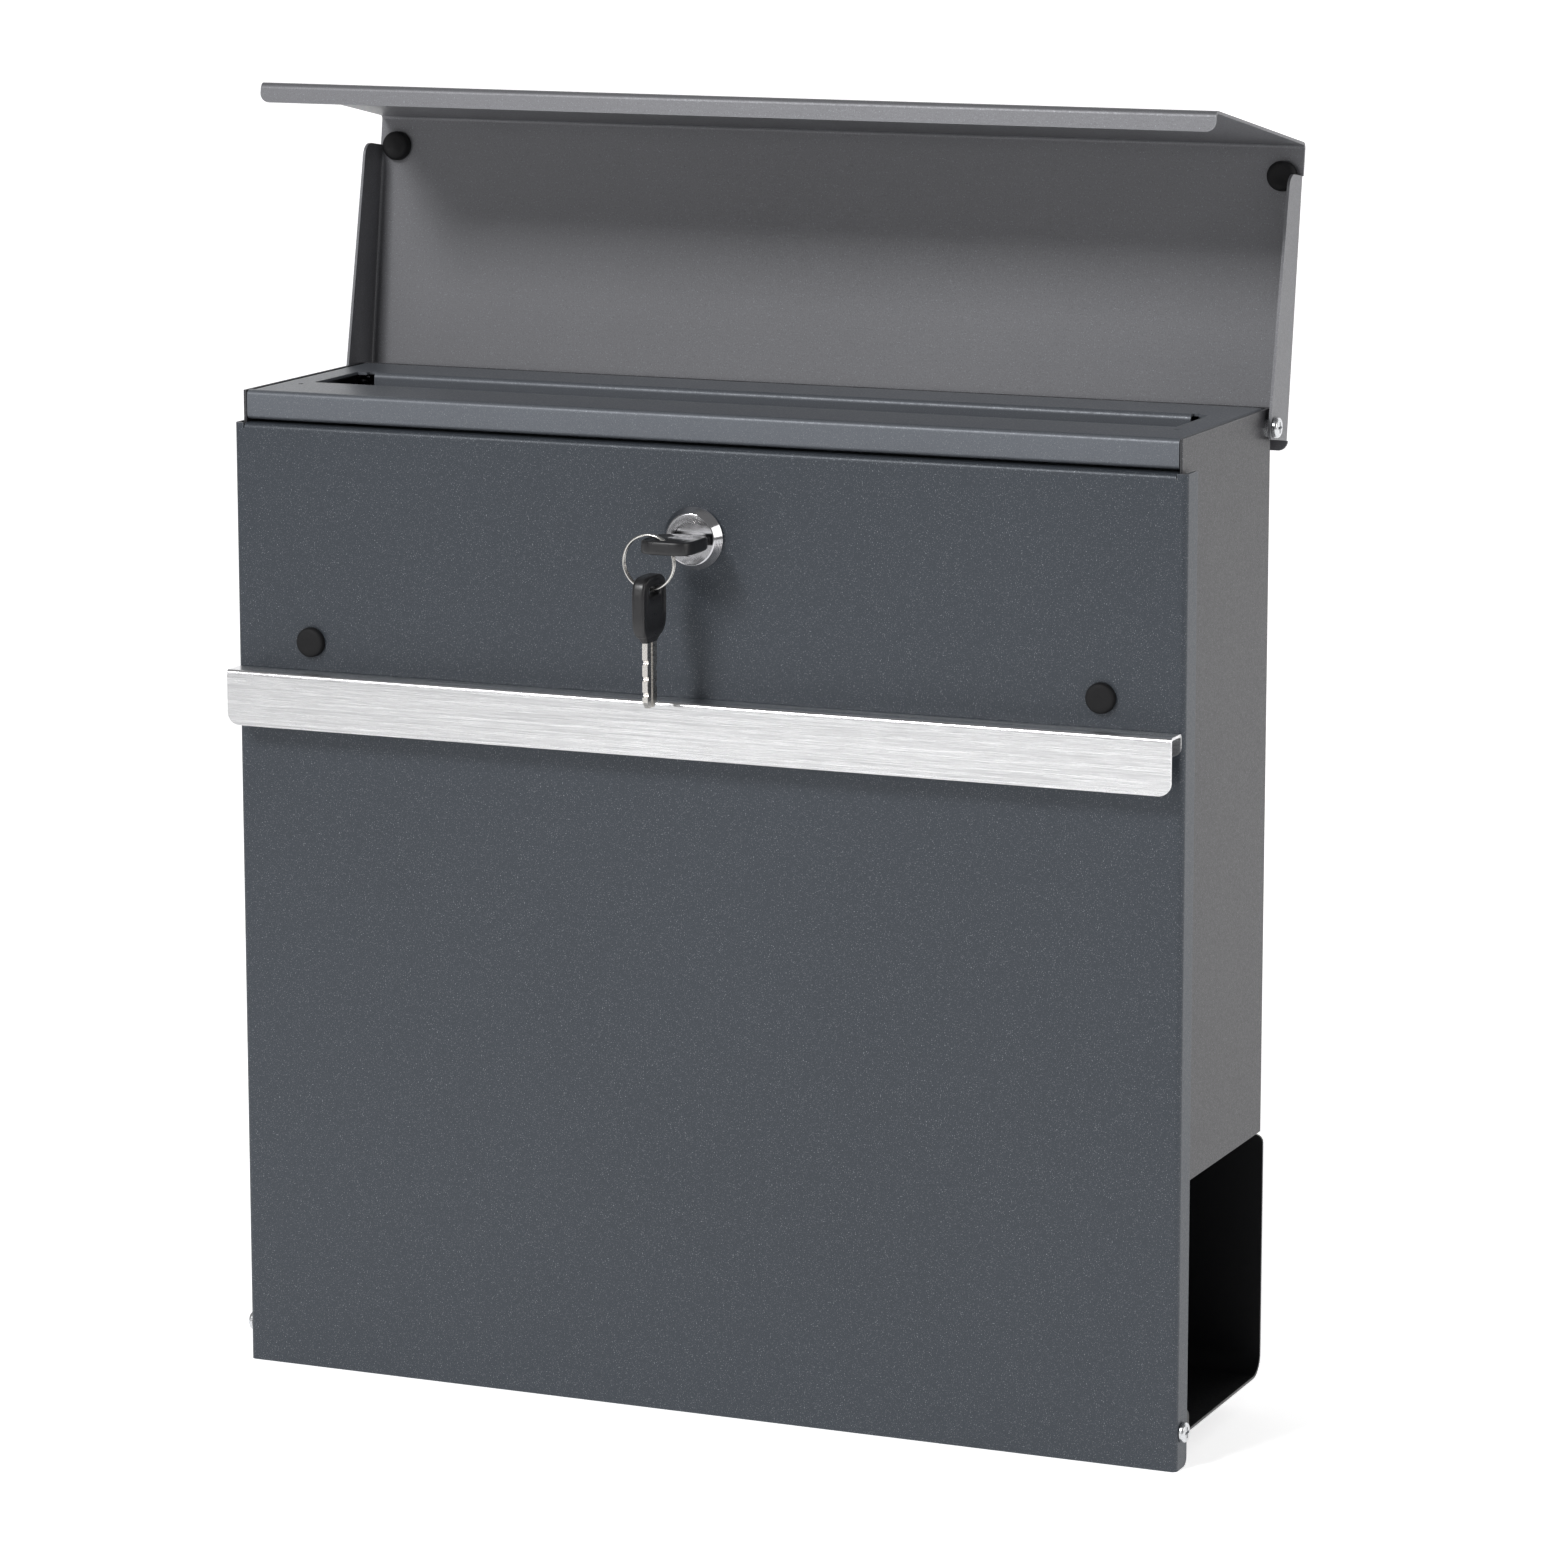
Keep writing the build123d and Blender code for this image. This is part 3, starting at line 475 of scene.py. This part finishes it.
# edges lighter: part wear, part painted edge highlight
connect(tree, shader, {
    "Base Color": blend(tree, rub["Mask"], tone, (0.93, 0.93, 0.93, 1)),
    "Roughness": marks["Roughness"],
    "Normal": relief.outputs[0],
    "Metallic": 1.0,
})
dress(chrome, "lock_housing", "lock_plug")
dress(zinc, "lock_nut", "cam", "cam_washer", "cam_screw")
wafer_brass = bare_metal(
    "wafer_brass", (0.72, 0.53, 0.25), (0.55, 0.38, 0.17), 1500.0, 0.25, 0.45, 0.4
)
dress(wafer_brass, "lock_wafers")

# ---- keys ---------------------------------------------------------------------------
# Flat nickelled steel blades in moulded black heads; one key is in the lock and the
# spare hangs from it.  A head has a rounded rim, a sunk panel and a slot for the ring.
nickel = bare_metal(
    "nickel_blade", (0.74, 0.72, 0.69), (0.58, 0.56, 0.53), 1100.0, 0.18, 0.38, 0.35
)
dress(nickel, "key_blade", "spare_key_blade")

ring_slot = (0.00475, 0.00175)  # half its width and half its height
past_slot = 0.004  # from the slot to the end of the head
neck_start, neck_run = -0.0014, 0.0034  # from the head's shoulder, and how far it goes
neck_narrow = (0.0046, 0.0014)  # half its width and half its thickness at the blade
neck_growth = (0.0026, 0.0008)  # what they gain by the head


def squared(angle, half_a, half_b, power):
    """A superellipse: cosine and sine keep their signs and are raised to 2 over the power."""
    a, b = np.cos(angle), np.sin(angle)
    return (half_a * np.sign(a) * np.abs(a) ** (2 / power),
            half_b * np.sign(b) * np.abs(b) ** (2 / power))


def head_and_neck(width, length, thick):
    """Key head in its own plane: a across it, b from its shoulder, t through its thickness.

    Each point lies on the straight line from the slot's outline to the head's outline,
    both superellipses.  Across that line the section is a squared oval, thinner between
    a third and two thirds of the way out, which sinks the panel.  The neck is a second
    tube of superellipses that widens from the blade into the head as a quarter sine.
    """
    angle, around = np.meshgrid(
        np.linspace(0, 2 * np.pi, 129)[:-1], np.linspace(0, 2 * np.pi, 49)[:-1], indexing="ij"
    )
    slot_a, slot_b = squared(angle, *ring_slot, 2.8)
    slot_b = slot_b + length - past_slot - ring_slot[1]
    rim_a, rim_b = squared(angle, width / 2, length / 2, 4.0)
    rim_b = rim_b + length / 2
    share, lift = squared(around, 0.5, 1.0, 5.0)
    share = 0.5 + share
    sunk = 1 / (1 + np.exp((0.28 - share) * 50)) / (1 + np.exp((share - 0.76) * 50))
    head = np.stack([
        slot_a + (rim_a - slot_a) * share,
        slot_b + (rim_b - slot_b) * share,
        thick / 2 * lift * (1 - 0.24 * sunk),
    ], -1)
    angle, along = np.meshgrid(
        np.linspace(0, 2 * np.pi, 65)[:-1], np.linspace(0, 1, 15), indexing="ij"
    )
    wider = np.sin(np.clip(along * 1.06, 0, 1) * np.pi / 2)
    ends = np.where((along == 0) | (along == 1), 0.0, 1.0)
    neck_a, neck_t = squared(angle, 1.0, 1.0, 3.2)
    neck = np.stack([
        neck_a * ends * (neck_narrow[0] + neck_growth[0] * wider),
        neck_start + neck_run * np.clip((along - 0.07) / 0.86, 0, 1),
        neck_t * ends * (neck_narrow[1] + neck_growth[1] * wider),
    ], -1)
    return head, neck


black_plastic, tree, shader = blank_material("moulded_plastic")
spark_eroded = noise(tree, own_place(tree), 3800.0, 2.0)
handled = grouped(tree, scratch, {"Scale": 450.0, "Low": 0.24, "High": 0.46})
rub = grouped(tree, wear_and_highlight, {"Width": 0.0005, "Breakup": 500.0})
tone = blend(tree, handled["Height"], (0.008, 0.008, 0.009, 1), (0.022, 0.022, 0.024, 1))
# edges lighter: part wear, part painted edge highlight
dull = reckon(tree, "MULTIPLY", rub["Mask"], 0.4)
relief = put(tree, "Bump", {"Strength": 0.25, "Distance": 0.00004, "Height": spark_eroded})
connect(tree, shader, {
    "Base Color": blend(tree, dull, tone, (0.09, 0.09, 0.095, 1)),
    "Roughness": handled["Roughness"],
    "Normal": relief.outputs[0],
})

low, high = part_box("key_head")
head, neck = head_and_neck(high.x - low.x, high.y - low.y, high.z - low.z)
key_shoulder, key_level = high.y, lock_middle[2]


def in_lock(shape):
    """The key in the lock lies flat: its head points away from the door."""
    a, b, t = np.moveaxis(shape, -1, 0)
    return np.stack([a, key_shoulder - b, key_level + t], -1)


key_top = surface("key_top", [in_lock(head)], (True, True))
key_top.data.materials.append(black_plastic)
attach(key_top, "key")
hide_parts("key_head")
key_neck = surface("key_neck", [in_lock(neck)], (True, False))
key_neck.data.materials.append(black_plastic)
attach(key_neck, "key")

low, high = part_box("spare_key_head")
spare_x, spare_y, spare_shoulder = (low.x + high.x) / 2, (low.y + high.y) / 2, low.z


def hanging(shape):
    """The spare key hangs from its slot, edge on to the front."""
    a, b, t = np.moveaxis(shape, -1, 0)
    return np.stack([spare_x + t, spare_y + a, spare_shoulder + b], -1)


spare_top = surface("spare_key_top", [hanging(head)], (True, True))
spare_top.data.materials.append(black_plastic)
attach(spare_top, "spare_key")
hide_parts("spare_key_head")
spare_neck = surface("spare_key_neck", [hanging(neck)], (True, False))
spare_neck.data.materials.append(black_plastic)
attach(spare_neck, "spare_key")

# ---- key ring -----------------------------------------------------------------------
# Split ring of nickelled spring wire: nearly two turns side by side, with a jog where
# the wire passes from one turn to the other, and rounded ends.
low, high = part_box("key_ring")
ring_middle = np.array((low + high) / 2)
ring_radius = (high.x - low.x) / 2 - 0.000525  # to the middle of the wire
wire_half = 0.5 * 0.00095
turn_count, wire_starts = 1.93, 0.9  # the angle at which its first end lies
jog_half, jog_run = 0.0005, 0.16  # half its way sideways, and the angle it takes
# the path is a circle; a hyperbolic tangent moves it sideways halfway along, and the
# wire's own circle shrinks to nothing at both ends as a quarter circle does
turns = np.linspace(0, 2 * np.pi * turn_count, 420)
round_wire = np.linspace(0, 2 * np.pi, 21)[:-1]
jog = jog_half * np.tanh((turns - np.pi * turn_count) / jog_run)
path = np.stack([
    np.cos(turns + wire_starts), np.zeros_like(turns), np.sin(turns + wire_starts),
], -1)[:, None, :]
from_end = np.minimum(turns, turns[-1] - turns) * ring_radius
to_full = 1 - np.clip(from_end / wire_half, 0, 1)
section = wire_half * np.sqrt(np.clip(1 - to_full ** 2, 0, 1))
outward = section[:, None, None] * np.cos(round_wire)[None, :, None]
coil = ring_middle + (ring_radius + outward) * path
coil[..., 1] += section[:, None] * np.sin(round_wire)[None, :] + jog[:, None]
split_ring = surface("split_ring", [coil], (False, True))
split_ring.data.materials.append(
    bare_metal("ring_wire", (0.70, 0.69, 0.67), (0.52, 0.51, 0.49), 1600.0, 0.14, 0.30, 0.25)
)
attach(split_ring, "ring")
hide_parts("key_ring")

# ---- lid ----------------------------------------------------------------------------
# One sheet folded into panel, flap with lip and two side flanges, coated on both faces.
# Two screws through its flanges are its hinge, low down at the back.
# its base is painted lighter than the shell's, as painted light on the panel that leans back into
# the light
dress(anthracite("lid_coat", (0.165, 0.166, 0.178), 8.0), "lid")

# ---- lid bumpers --------------------------------------------------------------------
# The same rubber buttons inside the lid, near its fold, where the shut lid meets the
# top plate.  They face out of the leaning panel.
lean = np.radians(8.1)
pin_to_panel, pin_to_pads, pad_height = 0.0155, 0.0901, 0.0040
pad_facing = np.array([0.0, -np.cos(lean), np.sin(lean)])
panel_up = np.array([0.0, np.sin(lean), np.cos(lean)])
hinge = np.array(joints["lid_hinge"]["pos_m"])
pad_foot = hinge - pin_to_panel * pad_facing + pin_to_pads * panel_up
low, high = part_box("lid_bumpers")
lid_buttons = [
    button((x, pad_foot[1], pad_foot[2]), pad_facing, bumper_radius, pad_height)
    for x in (low.x + bumper_radius, high.x - bumper_radius)
]
lid_pads = surface("lid_pads", lid_buttons, (True, False))
lid_pads.data.materials.append(rubber)
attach(lid_pads, "lid")
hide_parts("lid_bumpers")


# ---- lights and camera --------------------------------------------------------------
# Two soft windows in front on the left, the main one high and a weak one low, and a wide
# one on the right that only grazes the side.  The room around them is even and dim.
def window(name, at, towards, size, power, color):
    """A square soft light at one point, turned to face another."""
    lamp = bpy.data.lights.new(name, "AREA")
    lamp.size, lamp.energy, lamp.color = size, power, color
    lamp_object = bpy.data.objects.new(name, lamp)
    lamp_object.location = at
    aim = np.array(towards, float) - np.array(at, float)
    lamp_object.rotation_euler = Vector(aim).to_track_quat("-Z", "Y").to_euler()
    bpy.context.scene.collection.objects.link(lamp_object)


world = bpy.data.worlds.new("room")
bpy.context.scene.world = world
world.use_nodes = True
room = world.node_tree.nodes["Background"]
connect(world.node_tree, room, {"Color": (1.0, 1.0, 1.0, 1), "Strength": 0.22})
white, warm = (1.0, 1.0, 1.0), (1.0, 0.975, 0.955)
window("window_left", (-0.62, -1.75, 1.38), (0, -0.05, 0.05), 0.50, 27.0, white)
window("window_low", (-0.86, -2.15, 0.40), (0, -0.05, 0.20), 0.45, 3.0, white)
window("window_right", (2.1, -0.25, 0.75), (0, -0.05, 0.0), 1.2, 11.0, warm)

azimuth, elevation, roll = np.radians([23.26, 10.68, -0.07])
aim_at, distance = np.array([0.01132, -0.048, -0.0070]), 2.1759
backward = np.array([
    np.sin(azimuth) * np.cos(elevation), -np.cos(azimuth) * np.cos(elevation), np.sin(elevation),
])
right = np.cross(-backward, [0, 0, 1])
right /= np.linalg.norm(right)
upward = np.cross(right, -backward)
tilted_right = right * np.cos(roll) + upward * np.sin(roll)
tilted_up = upward * np.cos(roll) - right * np.sin(roll)
camera_data = bpy.data.cameras.new("camera")
camera_data.sensor_width = 36.0
camera_data.lens = 137.24
camera = bpy.data.objects.new("camera", camera_data)
bpy.context.scene.collection.objects.link(camera)
turned = Matrix(np.stack([tilted_right, tilted_up, backward], 1).tolist()).to_4x4()
camera.matrix_world = Matrix.Translation(Vector(aim_at + distance * backward)) @ turned
bpy.context.scene.camera = camera
bpy.context.scene.view_settings.view_transform = "Standard"
